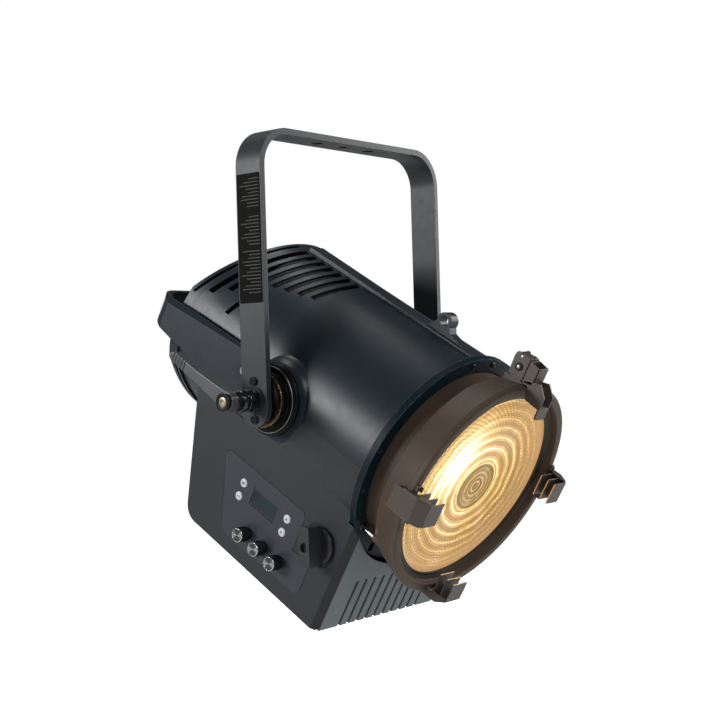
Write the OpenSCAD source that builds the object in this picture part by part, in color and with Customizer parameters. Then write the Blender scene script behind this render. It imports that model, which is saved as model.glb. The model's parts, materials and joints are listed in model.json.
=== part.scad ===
// LED fresnel spotlight: a flat-bar yoke, a tilting lamp head with a control box under its barrel,
// and a lens carriage that racks in and out of the barrel to zoom.
// Millimetres. The origin is the yoke's centre hole, on the crossbar's top face. +Z is up and the
// lens looks towards -Y. The head is drawn level about its own pivot, then tilted by head().

/* [Yoke] */
// Outside width over the two arms
yoke_w = 290; // [286:1:300]
// Height of the crossbar's top face above the tilt pivot
pivot_drop = 271; // [262:1:290]
// Width of the flat bar
bar_w = 34; // [30:1:40]
// Thickness of the flat bar
bar_t = 6.5; // [5:0.5:7]
// Outside radius of the two bends
bend_r = 40; // [25:1:45]
// Diameter of the centre mounting hole
centre_hole_d = 11; // [8:0.5:13]
// Diameter of the two outer mounting holes
outer_hole_d = 13; // [8:0.5:14]
// Distance between the outer mounting holes
outer_hole_span = 82; // [60:1:100]

/* [Head] */
// Tilt of the head below level, lens down
tilt_rest = 30.5; // [0:0.5:45]
// Outside radius of the barrel at its front end
barrel_r = 114; // [113:0.5:115]
// Wall of the barrel shells
shell_t = 3; // [2.5:0.5:3.5]
// Half width of the control box under the barrel
box_half_w = 100; // [98:0.5:101]
// Depth of the control box's underside below the pivot
box_drop = 187; // [180:1:195]
// Number of louvre slots on each side of the spine
louvres = 8; // [4:1:8]
// Width of a louvre slot, measured along the barrel
louvre_w = 7.5; // [4:0.5:9]

/* [Lens carriage] */
// Radius of the sliding lens tube
tube_r = 103; // [101:0.5:103]
// Front radius of the accessory ring
ring_r = 119.7; // [117:0.1:121]
// Number of prism steps on the fresnel lens
lens_steps = 16; // [6:1:24]
// Width of the square accessory frame that the clips hold
frame_w = 245; // [242:1:248]

/* [Controls] */
// Diameter of the three encoder knobs
knob_d = 16; // [12:0.5:18]
// Diameter of the four round buttons
button_d = 10; // [7:0.5:10.5]
// Travel of a button
button_travel = 1; // [0.5:0.1:1]

/* [Hidden] */
$fn = 64;

charcoal = [0.16, 0.17, 0.18];
black = [0.07, 0.07, 0.08];
teal_black = [0.07, 0.12, 0.14];
ring_brown = [0.17, 0.14, 0.12];
steel = [0.62, 0.62, 0.60];
brass = [0.66, 0.50, 0.26];

axis_z = 2;                       // height of the optical axis above the pivot
seam_z = -3;                      // joint between the top shell and the lower housing
barrel_front = -130;              // front end of the shells
flange_front = -137.5;            // front face of the front flange
flange_r = 118.4;
barrel_draft = 0.012;             // the barrel's radius falls by this much per millimetre to the rear
box_front = -144;                 // front face of the control box
box_chamfer = 7;
wall = 2.5;                       // wall of the control box
clear = 0.05;                     // radial clearance of a running fit
gap = 0.1;                        // gap between two pieces fixed together
pivot_r = 6;
band_r = 109;                     // steel band inside the shells that carries the pivots
band_t = 3.5;
stud_head_r = 11;
stud_seat = 105.4;                // flat seat of each pivot stud's head

// The rear of the barrel leans: planes parallel to it sit at a "lean position", measured at louvre_top.
lean = 0.5;
louvre_top = 115;
seam_lean = 119;
rear_lean = 134;
seam_back = 158;
rear_back = 172;
low_knee = -45;
low_lean = 0.4;
rear_bulge = 2.6;                 // the rear cover is this much larger in radius below the seam
louvre_first = 31.5;
louvre_pitch = 13.5;
spine_half = 10;
spine_top = 117.2;

zoom_y = -107.7;                  // zoom shaft's place on the box side
zoom_z = -106.3;
pinion_module = 1.5;
pinion_teeth = 12;
pitch_r = pinion_module * pinion_teeth / 2;
tooth_high = 1.3;                 // tooth above the pitch line
tooth_deep = 1.8;                 // tooth below the pitch line
tooth_w = 1.85;                   // tooth width on the pitch line
rack_x = [-59, -53];

ring_rear = -157;
ring_front = -194;
lip_r = 110.5;                    // inside radius of the ring's front lip
lens_front = -185.5;
lens_t = 6;
rod_angle = 128.5;
rod_pos_r = 109.3;
rod_r = 3;

clip_front = -215.2;              // inner face of each clip's front wall
clip_t = 1.8;
clip_half_w = 12;
clip_reach = 96;                  // distance of the clip walls' inner edges from the optical axis
clip_fold = -204;                 // where the outer plate starts to slant inwards
clip_slant = 6.5;                 // how far in it has come at the front wall
clip_walls = [-199, -208];        // front faces of the rear and middle walls
clip_wall_t = 1.4;
pin_y = -177.5;                   // top latch's hinge pin
pin_z = 135;
latch_half = 8.5;                 // half width of the top latch
ear_half = 6.6;                   // half width of the bracket inside it
latch_face = -199;                // front face of the latch's box

panel_x = -box_half_w;
display_yz = [-25.5, -113.3];
display_wh = [39, 19.5];
button_yz = [[9.5, -108], [9.5, -124], [-60, -107], [-60, -123]];
knob_yz = [[-18, -153.3], [-43.8, -153.3], [-69.6, -153.3]];

// ---- placing ----
module head() { translate([0, 0, -pivot_drop]) rotate([tilt_rest, 0, 0]) children(); }
module at_pivot() { translate([0, 0, -pivot_drop]) children(); }
module both_sides() { children(); mirror([1, 0, 0]) children(); }

// ---- building blocks ----
module span(x, y, z) { translate([x[0], y[0], z[0]]) cube([x[1] - x[0], y[1] - y[0], z[1] - z[0]]); }
module x_rod(r, x, y = 0, z = 0) {
  translate([x[0], y, z]) rotate([0, 90, 0]) cylinder(r = r, h = x[1] - x[0]);
}
module y_rod(r, y, x = 0, z = axis_z) {
  translate([x, y[0], z]) rotate([-90, 0, 0]) cylinder(r = r, h = y[1] - y[0], $fn = r > 40 ? 192 : 64);
}
// the barrel's tapered outside between two y places, moved in by inset
module barrel(inset, y) translate([0, y[0], axis_z]) rotate([-90, 0, 0])
  cylinder(r1 = drafted_r(y[0]) - inset, r2 = drafted_r(y[1]) - inset, h = y[1] - y[0], $fn = 192);
// a (y, z) outline drawn out along X
module side_prism(points, x) {
  translate([x[0], 0, 0]) rotate([90, 0, 90]) linear_extrude(x[1] - x[0]) polygon(points);
}
// an (r, y) outline turned about the optical axis
module turned(points) {
  translate([0, 0, axis_z]) rotate([90, 0, 0]) rotate_extrude($fn = 192)
    polygon([for (p = points) [p[0], -p[1]]]);
}
function lean_y(position, z) = position + lean * (louvre_top - z);
function drafted_r(y) = barrel_r - barrel_draft * (y - barrel_front);
function about(c, half) = [c - half, c + half];
function on_axis(r, a) = [r * sin(a), axis_z + r * cos(a)];
// pan-head screw along -X, its head's underside at x = 0
module screw_x(r, l) {
  x_rod(r, [0, l]);
  translate([-1.7 * r * 0.55, 0, 0]) x_rod(1.7 * r, [0, 1.7 * r * 0.55]);
}

// ---- yoke ----
module yoke_half() {
  x_in = yoke_w / 2 - bend_r;
  span([0, x_in], [-bar_w / 2, bar_w / 2], [-bar_t, 0]);
  translate([x_in, 0, -bend_r]) rotate([90, 0, 0])
    rotate_extrude(angle = 90) translate([bend_r - bar_t, -bar_w / 2]) square([bar_t, bar_w]);
  span([yoke_w / 2 - bar_t, yoke_w / 2], [-bar_w / 2, bar_w / 2], [-pivot_drop - 10, -bend_r]);
  x_rod(bar_w / 2, [yoke_w / 2 - bar_t, yoke_w / 2], 0, -pivot_drop - 10);
}
module yoke_bracket() color(charcoal) difference() {
  both_sides() yoke_half();
  translate([0, 0, -bar_t - 1]) cylinder(d = centre_hole_d, h = bar_t + 2);
  for (s = [-1, 1]) translate([s * outer_hole_span / 2, 0, -bar_t - 1])
    cylinder(d = outer_hole_d, h = bar_t + 2);
  at_pivot() both_sides() {
    x_rod(pivot_r + clear, [yoke_w / 2 - bar_t - 1, yoke_w / 2 + 1]);
    for (s = [-1, 1]) x_rod(2.6, [yoke_w / 2 - bar_t - 1, yoke_w / 2 + 1], 0, 19 * s);
  }
}
arm_in = yoke_w / 2 - bar_t;
module rating_label() color(black) at_pivot()
  span([-yoke_w / 2 - 0.3, -yoke_w / 2], [-15.8, 15.8], [96, 224]);
module friction_plates() color(black) at_pivot() both_sides() difference() {
  x_rod(26, [arm_in - 3.3, arm_in]);
  x_rod(pivot_r + clear, [arm_in - 5, arm_in + 1]);
  for (s = [-1, 1]) x_rod(2.55, [arm_in - 5, arm_in + 1], 0, 19 * s);
}
module brass_washers() color(brass) at_pivot() both_sides() difference() {
  x_rod(27.5, [arm_in - 4.9, arm_in - 3.4]);
  x_rod(14, [arm_in - 6, arm_in]);
}
module plate_screws() color(steel) at_pivot() for (m = [0, 1]) mirror([m, 0, 0])
  for (s = [-1, 1]) translate([-yoke_w / 2, 0, 19 * s]) screw_x(2.5, bar_t + 3);
module hub_washers() color(charcoal) at_pivot() both_sides() difference() {
  x_rod(13.5, [yoke_w / 2, yoke_w / 2 + 2.2]);
  x_rod(pivot_r + clear, [yoke_w / 2 - 1, yoke_w / 2 + 4]);
}

// ---- tilt lock lever, on the left arm ----
hub_x = -yoke_w / 2 - 2.5;        // hub's inner face
hub_end = hub_x - 37.5;
lever_x = [hub_end, hub_end + 9];
lever_angle = 31.8;
lever_len = 92;
module lock_hub() color(black) at_pivot() difference() {
  translate([hub_x, 0, 0]) rotate([0, -90, 0]) rotate_extrude()
    polygon([[0, 0], [9.5, 0], [9.5, 3], [11.3, 6], [11.3, 17], [10.2, 20], [10.2, 28.3], [8, 28.3],
        [8, 37.2], [0, 37.2]]);
  x_rod(pivot_r + clear, [hub_x - 29, hub_x + 1]);
  x_rod(2.5, [hub_x - 38, hub_x - 28]);
  // grip flutes round the hub
  for (a = [0:30:359]) rotate([a, 0, 0]) x_rod(1.2, [hub_x - 16, hub_x - 7], 0, 11.9);
}
module lock_lever() color(charcoal) at_pivot() rotate([lever_angle, 0, 0]) difference() {
  union() {
    x_rod(10, lever_x);
    side_prism([[0, -9.6], [20, -6.6], [50, -5.4], [lever_len - 5, -4.7], [lever_len, -2], [lever_len, 2],
                [lever_len - 5, 4.7], [50, 5.4], [20, 7.4], [0, 9.6]], lever_x);
  }
  x_rod(8 + clear, [hub_end - 1, hub_end + 20]);
  for (k = [0:4]) span([hub_end - 1, hub_end + 1.2],
      [lever_len - 26 + 4.5 * k, lever_len - 24 + 4.5 * k], [-8, 8]);
}
module lock_screw() color(steel) at_pivot() {
  x_rod(2.45, [hub_end - 0.5, hub_end + 8.5]);
  x_rod(9.4, [hub_end - 1.2, hub_end - gap]);
  x_rod(5, [hub_end - 4, hub_end - 1.2]);
}

// ---- pivots on the head ----
boss_r = 37.5;
module side_bosses() color(black) head() both_sides() difference() {
  union() {
    translate([104, 0, 0]) rotate([0, 90, 0]) cylinder(r1 = 45, r2 = boss_r, h = 12);
    x_rod(boss_r, [116, 120]);
    translate([120, 0, 0]) rotate([0, 90, 0]) cylinder(r1 = boss_r - 0.5, r2 = 33.5, h = 6);
    x_rod(28.5, [126, arm_in - 5.2]);
  }
  barrel(-gap, [-60, 60]);
  x_rod(pivot_r + clear, [90, arm_in]);
}
module pivot_studs() color(steel) head() {
  x_rod(pivot_r, [hub_x - 27.5, 4 - stud_seat]);
  x_rod(stud_head_r, [gap - stud_seat, 4 - stud_seat]);
  x_rod(pivot_r, [stud_seat - 4, yoke_w / 2 + 13]);
  x_rod(stud_head_r, [stud_seat - 4, stud_seat - gap]);
}
module pivot_nut() color(black) head() difference() {
  translate([yoke_w / 2 + 2.4, 0, 0]) rotate([0, 90, 0]) cylinder(r = 11, h = 9.5, $fn = 6);
  x_rod(pivot_r + clear, [yoke_w / 2, yoke_w / 2 + 20]);
}
module chassis_band() color(steel) head() difference() {
  y_rod(band_r, [-22, 22]);
  y_rod(band_r - band_t, [-23, 23]);
  x_rod(pivot_r + clear, [-120, 120]);
  both_sides() x_rod(stud_head_r + 0.3, [stud_seat - 5, stud_seat]);
}

// ---- barrel shells ----
// outline of the shells' side view, out to the leaning joint with the rear cover
function shell_side(z_low, z_high) = concat(
  [[barrel_front, z_low], [barrel_front, z_high]],
  z_high > 60 ? [[lean_y(seam_lean, z_high), z_high],
      [seam_back, louvre_top - (seam_back - seam_lean) / lean]] : [],
  z_high > 60 ? [[seam_back, z_low]] :
    [[seam_back, z_high], [seam_back, low_knee], [seam_back + low_lean * (z_low - low_knee), z_low]]);
function louvre_low(i) = 92 - 3.5 * i - max(0, i - 3) * 8.5;
module louvre_slots() for (i = [0:louvres - 1]) {
  start = louvre_first + louvre_pitch * i - louvre_w / 2;
  low = louvre_low(i);
  side_prism([[lean_y(start, 130), 130], [lean_y(start + louvre_w, 130), 130],
              [lean_y(start + louvre_w, low), low], [lean_y(start, low), low]], [spine_half + 3, 120]);
}
eye = [-77, 130];                 // safety eye's hole
eye_r = 5;
eye_lug_r = 9.2;
module spine() {
  span([-spine_half, spine_half], [-126, seam_lean - 2], [axis_z + 105, spine_top]);
  intersection() {
    union() {
      x_rod(eye_lug_r, [-6, 6], eye[0], eye[1]);
      side_prism([[-54, 116], [-62, 119], [-67.6, 127], [-86, 127], [-89, 122], [-104, 118.5],
          [-121, 116]], [-6, 6]);
    }
    span([-20, 20], [-122, -40], [112, 150]);
  }
}
module top_shell() color(charcoal) head() difference() {
  union() {
    intersection() {
      barrel(0, [barrel_front, 180]);
      side_prism(shell_side(seam_z, 125), [-130, 130]);
    }
    spine();
  }
  barrel(shell_t, [barrel_front - 1, 190]);
  both_sides() louvre_slots();
  x_rod(eye_r, [-10, 10], eye[0], eye[1]);
  x_rod(pivot_r + 0.3, [-130, 130]);
  for (z = handle_screw_z) x_rod(2.6, [-130, 130], handle_screw_y, z);
  // one vent slot on each flank, in line with the louvres
  both_sides() side_prism([[101, 58], [107, 58], [115, 38], [109, 38]], [80, 130]);
}

// ---- rear cover ----
module rear_form(inset) {
  z_top = 125;
  back = rear_back - inset;
  edge = rear_lean - inset * 1.12;
  intersection() {
    union() {
      barrel(inset, [20, 190]);
      intersection() {
        barrel(inset - rear_bulge, [20, 190]);
        span([-130, 130], [20, 190], [-130, seam_z - 12]);
      }
    }
    side_prism([[lean_y(edge, z_top), z_top], [back, louvre_top - (back - edge) / lean], [back, low_knee],
                [back - low_lean * 75, low_knee - 75], [20, low_knee - 75], [20, z_top]], [-130, 130]);
  }
}
module rear_cover() color(charcoal) head() difference() {
  rear_form(0);
  rear_form(shell_t);
  // joint with the shells, a hair behind their edge
  side_prism([[0, 140], [lean_y(seam_lean + gap, 140), 140],
              [seam_back + gap, louvre_top - (seam_back - seam_lean) / lean], [seam_back + gap, low_knee],
              [seam_back + gap - low_lean * 95, low_knee - 95], [0, low_knee - 95]], [-130, 130]);
  // last louvre on each side
  both_sides() side_prism([[lean_y(125.5, 130), 130], [lean_y(129.5, 130), 130],
              [lean_y(129.5, 36), 36], [lean_y(125.5, 36), 36]], [spine_half + 3, 120]);
  // low slot on each flank
  both_sides() side_prism([[163, -42], [167.5, -42], [149, -88], [144.5, -88]], [60, 120]);
  // fan grille in the back wall
  for (k = [-4:4]) span([-sqrt(1600 - 81 * k * k), sqrt(1600 - 81 * k * k)], [160, 180],
      [9 * k - 2.5, 9 * k + 2.5]);
}

// ---- lower housing ----
rear_foot = [110.6, -74];         // a point on the box's sloping back
rear_slope = 0.373;
slope_len = sqrt(1 + rear_slope * rear_slope);
foot_r = 20;
function slope_y(z) = rear_foot[0] + rear_slope * (z - rear_foot[1]);
function box_side(d, z_top) =
  let (cz = -box_drop + foot_r, cy = slope_y(cz) - foot_r * slope_len, last = -atan(rear_slope))
  concat([[box_front + d, z_top], [box_front + d, -box_drop + d]],
         [for (k = [0:6]) let (a = -90 + k * (90 + last) / 6)
           [cy + (foot_r - d) * cos(a), cz + (foot_r - d) * sin(a)]],
         [[slope_y(z_top) - d * slope_len, z_top]]);
module box_form(d, z_top) intersection() {
  side_prism(box_side(d, z_top), [-box_half_w + d, box_half_w - d]);
  translate([0, 0, -200]) linear_extrude(200) polygon([
    [-box_half_w + d, 130], [-box_half_w + d, box_front + box_chamfer + 0.4 * d],
    [-box_half_w + box_chamfer + 0.4 * d, box_front + d],
    [box_half_w - box_chamfer - 0.4 * d, box_front + d],
    [box_half_w - d, box_front + box_chamfer + 0.4 * d], [box_half_w - d, 130]]);
}
recess_r = 22.2;                  // round recess behind the zoom knob
panel_side = [[47, -95], [45, -90.5], [40, -88], [-76, -88], [-80, -92], [-80, -131], [-107, -131],
              [-107.5, -164], [-103, -169], [10, -171], [17, -167]];
module panel_outline(grow) offset(delta = grow) difference() {
  polygon(panel_side);
  translate([zoom_y, zoom_z]) circle(recess_r);
}
module panel_plate(x, grow = 0) {
  translate([x[0], 0, 0]) rotate([90, 0, 90]) linear_extrude(x[1] - x[0]) panel_outline(grow);
}
module lower_housing() color(charcoal) head() difference() {
  union() {
    intersection() {
      barrel(0, [barrel_front, 180]);
      side_prism(shell_side(-118, seam_z - gap), [-130, 130]);
    }
    difference() {
      box_form(0, -50);
      y_rod(flange_r + 1.6, [-160, barrel_front]);
      span([-120, 120], [-160, barrel_front], [-64.3, 0]);
    }
  }
  barrel(shell_t, [barrel_front - 1, 190]);
  difference() {
    box_form(wall, -44);
    span([-120, 120], [-160, barrel_front + 2], [-66, 0]);
  }
  // openings for the front panel and the bottom plate
  span([-93, 93], [box_front - 1, box_front + wall + 1], [-box_drop - 1, -50]);
  span([-box_half_w + wall, box_half_w - wall], [box_front - 1, 46], [-box_drop - 1, -box_drop + wall + 1]);
  x_rod(pivot_r + 0.3, [-130, 130]);
  // seat and window of the control panel
  panel_plate([panel_x - 1, panel_x + 1.3], 0.35);
  panel_plate([panel_x - 1, panel_x + 5], -5);
  // recess of the zoom knob, and its bush's hole
  x_rod(recess_r, [panel_x - 1, panel_x + 1.5], zoom_y, zoom_z);
  x_rod(5 + gap, [panel_x - 1, panel_x + 5], zoom_y, zoom_z);
  for (c = rear_sockets) on_slope(c[0], c[1]) translate([0, 0, -5]) cylinder(r = c[2] + 0.2, h = 10);
  for (s = [-1, 1]) let (p = on_axis(rod_pos_r, s * rod_angle)) y_rod(4.3, [-140, -120], p[0], p[1]);
}
module front_panel() color(charcoal) head() difference() {
  span([-93 + gap, 93 - gap], [box_front, box_front + wall], [-box_drop, -64.3]);
  y_rod(flange_r + 1.6, [-160, -120]);
  for (k = [-5:4]) span([14 * k + 5, 14 * k + 9], [box_front - 1, box_front + 5], [-box_drop - 1, -131]);
}
module bottom_plate() color(charcoal) head()
  span([-box_half_w + wall + gap, box_half_w - wall - gap], [box_front + wall + gap, 46 - gap],
      [-box_drop, -box_drop + wall]);

// ---- front flange ----
flange_screw_angles = [-10, 7, -79, 79, -101, 101, -121, 121, 180];
module front_flange() color(teal_black) head() difference() {
  y_rod(flange_r, [flange_front, barrel_front - gap]);
  y_rod(tube_r + 1, [flange_front - 1, barrel_front + 1]);
  span([rack_x[0] - 0.6, rack_x[1] + 0.6], [flange_front - 1, barrel_front + 1],
      [zoom_z + pitch_r - 2.5, -78]);
  for (s = [-1, 1]) let (p = on_axis(rod_pos_r, s * rod_angle)) y_rod(4.2, [flange_front - 1, -120],
      p[0], p[1]);
  for (a = flange_screw_angles) let (p = on_axis(112, a)) y_rod(1.6, [flange_front - 1, -120], p[0], p[1]);
}
module flange_screws() color(steel) head() for (a = flange_screw_angles) let (p = on_axis(112, a)) {
  y_rod(1.5, [flange_front - 0.5, flange_front + 7], p[0], p[1]);
  y_rod(2.9, [flange_front - 1.5, flange_front - 0.02], p[0], p[1]);
}
module guide_bushes() color(brass) head() for (s = [-1, 1]) let (p = on_axis(rod_pos_r, s * rod_angle))
    difference() {
  y_rod(4.15, [flange_front - 0.6, -122], p[0], p[1]);
  y_rod(rod_r + clear, [flange_front - 2, -110], p[0], p[1]);
}

// ---- rear handle ----
handle_half = 120.5;
handle_t = 5;
handle_back = 203;
handle_corner = 22;
handle_y = 40;                    // front ends of the arms
handle_screw_y = 47;
handle_screw_z = [6, 20];
module handle_plan(d) {
  h = handle_half - d;
  back = handle_back - d;
  r = handle_corner - d;
  translate([-h, handle_y]) square([2 * h, back - r - handle_y]);
  translate([-h + r, handle_y]) square([2 * h - 2 * r, back - handle_y]);
  for (s = [-1, 1]) translate([s * (h - r), back - r]) circle(r, $fn = 48);
}
module rear_handle() color(charcoal) head() difference() {
  union() {
    handle_loop();
    // pads between the arms and the barrel
    both_sides() difference() {
      for (z = handle_screw_z) x_rod(5.5, [100, handle_half - 2], handle_screw_y, z);
      barrel(-gap, [30, 80]);
    }
  }
  for (z = handle_screw_z) x_rod(2.6, [-130, 130], handle_screw_y, z);
  handle_chamfer();
}
module handle_loop() intersection() {
  translate([0, 0, -30]) linear_extrude(60) difference() {
    handle_plan(0);
    handle_plan(handle_t);
    translate([-60, 0]) square([120, 100]);
  }
  side_prism([[handle_y, -23.4], [104, -21.5], [164, -18.7], [183, -16.5], [205, -9.5],
              [205, 18], [188, 20], [handle_y, 28]], [-130, 130]);
}
// sloping top edge of the handle's arms
module handle_chamfer() both_sides() translate([-handle_half, 67, 23.6]) rotate([-5.1, 0, 0])
    rotate([0, -48, 0])
  translate([-40, -60, 0]) cube([90, 200, 40]);
module handle_screws() color(steel) head() both_sides() for (z = handle_screw_z)
  translate([-handle_half, handle_screw_y, z]) screw_x(2.5, 14);

// ---- controls ----
module control_panel() color(black) head() difference() {
  panel_plate([panel_x - 0.2, panel_x + 1.2]);
  span([panel_x - 2, panel_x + 3], about(display_yz[0], display_wh[0] / 2),
      about(display_yz[1], display_wh[1] / 2));
  for (b = button_yz) x_rod(button_d / 2 + 0.15, [panel_x - 2, panel_x + 3], b[0], b[1]);
  for (k = knob_yz) x_rod(3.5, [panel_x - 2, panel_x + 3], k[0], k[1]);
}
module display_window() color([0.12, 0.2, 0.2]) head()
  span([panel_x + 0.3, panel_x + 1.5], about(display_yz[0], display_wh[0] / 2 - gap),
      about(display_yz[1], display_wh[1] / 2 - gap));
module display_module() color([0.2, 0.3, 0.28]) head()
  span([panel_x + 1.7, panel_x + 6.8], about(display_yz[0], 22), about(display_yz[1], 12));
board_x = panel_x + 7;
module control_board() color([0.05, 0.25, 0.12]) head() {
  span([board_x, board_x + 1.6], [-84, 20], [-168, -96]);
  for (b = button_yz) span([board_x - 2.9, board_x], about(b[0], 3), about(b[1], 3));
}
module encoder_bodies() color(steel) head() for (k = knob_yz) difference() {
  span([board_x - 4.2, board_x - 0.1], about(k[0], 6.2), about(k[1], 6.2));
  x_rod(3 + clear, [board_x - 10, board_x + 1], k[0], k[1]);
}
module round_button(i) color([0.85, 0.87, 0.88]) head() {
  b = button_yz[i];
  x_rod(button_d / 2, [panel_x - 1.7, panel_x + 1.3], b[0], b[1]);
  x_rod(button_d / 2 + 0.5, [panel_x + 1.3, panel_x + 2], b[0], b[1]);
}
module button_1() round_button(0);
module button_2() round_button(1);
module button_3() round_button(2);
module button_4() round_button(3);
module round_knob(i) color(black) head() {
  k = knob_yz[i];
  r = knob_d / 2;
  x_rod(3, [panel_x - 1.2, board_x - 1.4], k[0], k[1]);
  translate([panel_x - 1.2, k[0], k[1]]) rotate([0, -90, 0]) rotate_extrude()
    polygon([[0, 0], [r, 0], [r, 12.2], [r - 0.8, 13], [0, 13]]);
}
module encoder_knob_1() round_knob(0);
module encoder_knob_2() round_knob(1);
module encoder_knob_3() round_knob(2);

// ---- zoom drive ----
bar_angle = 30.5;                 // the grip bar's lean at rest
module zoom_knob() color(black) head() translate([0, zoom_y, zoom_z]) difference() {
  union() {
    x_rod(19.6, [panel_x - 3.6, panel_x + 1.2]);
    intersection() {
      rotate([-bar_angle, 0, 0]) span([panel_x - 22, panel_x - 3], [-7, 7], [-20.5, 20.5]);
      x_rod(20.3, [panel_x - 24, panel_x]);
    }
  }
  x_rod(4.8, [panel_x - 30, panel_x - 18]);
  x_rod(3 + clear, [panel_x - 12, panel_x + 4]);
}
// outline of the pinion, one tooth gap pointing up
module pinion_outline() {
  root = pitch_r - tooth_deep;
  tip = pitch_r + tooth_high;
  circle(root);
  for (k = [0:pinion_teeth - 1]) rotate((k + 0.5) * 360 / pinion_teeth)
    polygon([[-1.5, root - 1], [-tooth_w / 2 - 0.36 * tooth_deep, root], [-tooth_w / 2, pitch_r],
        [-tooth_w / 2 + 0.5 * tooth_high, tip], [tooth_w / 2 - 0.5 * tooth_high, tip], [tooth_w / 2, pitch_r],
        [tooth_w / 2 + 0.36 * tooth_deep, root], [1.5, root - 1]]);
}
module zoom_shaft() color(steel) head() translate([0, zoom_y, zoom_z]) {
  x_rod(3, [panel_x - 11.8, -46]);
  translate([rack_x[0] + 0.2, 0, 0]) rotate([90, 0, 90]) linear_extrude(rack_x[1] - rack_x[0] - 0.4)
      pinion_outline();
}
module zoom_bearings() color(brass) head() {
  translate([0, zoom_y, zoom_z]) difference() {
    union() {
      x_rod(5, [panel_x + 1.5, panel_x + 6]);
      x_rod(7.5, [panel_x + wall + gap, panel_x + 6]);
    }
    x_rod(3 + clear, [panel_x - 5, panel_x + 10]);
  }
  difference() {
    union() {
      span([panel_x + wall + gap, -46.5], [zoom_y - 9, zoom_y + 9], [zoom_z - 16, zoom_z - 13.5]);
      span([-49.5, -46.5], [zoom_y - 9, zoom_y + 9], [zoom_z - 14, zoom_z + 6]);
    }
    x_rod(3 + clear, [-60, -40], zoom_y, zoom_z);
  }
}
// rack teeth hang below the bar; one tooth stands over the zoom shaft at rest
module zoom_rack() color(steel) head() difference() {
  pitch = PI * pinion_module;
  line = zoom_z + pitch_r;
  union() {
    span(rack_x, [-132, -66], [line + tooth_deep, line + 7]);
    side_prism(concat([[-132, line + tooth_deep + 0.5], [-132, line + tooth_deep]],
      [for (k = [-5:8]) let (c = zoom_y + k * pitch) each [
        [c - tooth_w / 2 - 0.36 * tooth_deep, line + tooth_deep],
        [c - tooth_w / 2 + 0.36 * tooth_high, line - tooth_high],
        [c + tooth_w / 2 - 0.36 * tooth_high, line - tooth_high],
        [c + tooth_w / 2 + 0.36 * tooth_deep, line + tooth_deep]]],
      [[-66, line + tooth_deep], [-66, line + tooth_deep + 0.5]]), rack_x);
    for (y = [-128, -76]) span(rack_x, [y, y + 10], [line + 6.5, -80]);
  }
  y_rod(tube_r + gap, [-150, -40]);
}

// ---- lens carriage ----
module lens_tube() color(ring_brown) head()
  turned([[tube_r - 2.5, lens_front + lens_t + 0.2], [tube_r, lens_front + lens_t + 0.2], [tube_r, -60],
      [tube_r - 2.5, -60]]);
module accessory_ring() color(ring_brown) head() difference() {
  union() {
    turned([[tube_r + gap, ring_rear], [109, ring_rear], [111, ring_rear - 1.5],
        [ring_r, ring_front + 5], [ring_r, ring_front + 1], [ring_r - 1, ring_front], [lip_r, ring_front],
        [lip_r, lens_front - 1.5], [105.6, lens_front - 1.5],
        [105.6, lens_front + lens_t + 0.1], [tube_r + gap, lens_front + lens_t + 0.1]]);
    for (s = [-1, 1]) let (p = on_axis(rod_pos_r, s * rod_angle))
        y_rod(5, [ring_rear - 11, ring_rear + 0.5], p[0], p[1]);
  }
  for (s = [-1, 1]) let (p = on_axis(rod_pos_r, s * rod_angle))
      y_rod(rod_r + clear, [ring_rear - 9, -150], p[0], p[1]);
  y_rod(tube_r + gap, [ring_rear - 12, ring_rear + 2]);
}
function step_r(k) = 6 + (97 - 6) * k / lens_steps;
module fresnel_lens() color([0.95, 0.9, 0.7, 0.5]) head() turned(concat(
  [[0, lens_front + lens_t], [105.4, lens_front + lens_t], [105.4, lens_front + 2.5], [99, lens_front + 2.5]],
  [for (k = [lens_steps:-1:1]) each [[step_r(k), lens_front + 2.5], [step_r(k - 1) + 0.6, lens_front + 0.4]]],
  [[6, lens_front + 0.3], [0, lens_front]]));
module lens_retainer() color(black) head()
  turned([[102, lens_front - 1.4], [105.5, lens_front - 1.4], [105.5, lens_front + 2.4],
      [103.2, lens_front + 2.4], [102, lens_front]]);
module guide_rods() color(steel) head() for (s = [-1, 1]) let (p = on_axis(rod_pos_r, s * rod_angle))
  y_rod(rod_r, [ring_rear - 8.9, -70], p[0], p[1]);

// outside of the ring, filled, to seat the clips on it
module ring_seat() turned([[0, -150], [111, ring_rear - 1.5], [ring_r + gap, ring_front + 5],
    [ring_r + gap, ring_front - 0.1], [0, ring_front - 0.1]]);
// a folded sheet clip at the 6 o'clock place: an outer plate that slants in to the front wall, two more
// walls behind it that make the slots, and two feet on the ring
module clip() {
  out = frame_w / 2 + 0.5;
  nose = out - clip_slant;
  front = clip_front - clip_t;
  h = clip_half_w;
  difference() {
    union() {
      side_prism([[-176, -out], [clip_fold, -out], [clip_front, -nose], [clip_front, -clip_reach],
                  [front, -clip_reach], [front, -nose - 0.6], [clip_fold - 0.8, -out - clip_t],
                  [-176, -out - clip_t]], [-h, h]);
      span([-h, h], [clip_walls[0], clip_walls[0] + clip_wall_t], [-out - 1, -clip_reach]);
      span([-h, h], [clip_walls[1], clip_walls[1] + clip_wall_t], [-out + 1.5, -clip_reach]);
      span([-h - 3, -h + clip_t], [-200, -178], [-out - clip_t, -115]);
      span([h - clip_t, h + 3], [-200, -178], [-out - clip_t, -115]);
      span([-h - 3, h + 3], [-198.5, -194.2], [-out, -out + 14]);
    }
    translate([0, 0, -axis_z]) ring_seat();
  }
}
module place_clip(a) color(ring_brown) head() translate([0, 0, axis_z]) rotate([0, a, 0]) clip();
module clip_bottom() place_clip(0);
module clip_left() place_clip(90);
module clip_right() place_clip(-90);

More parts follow.
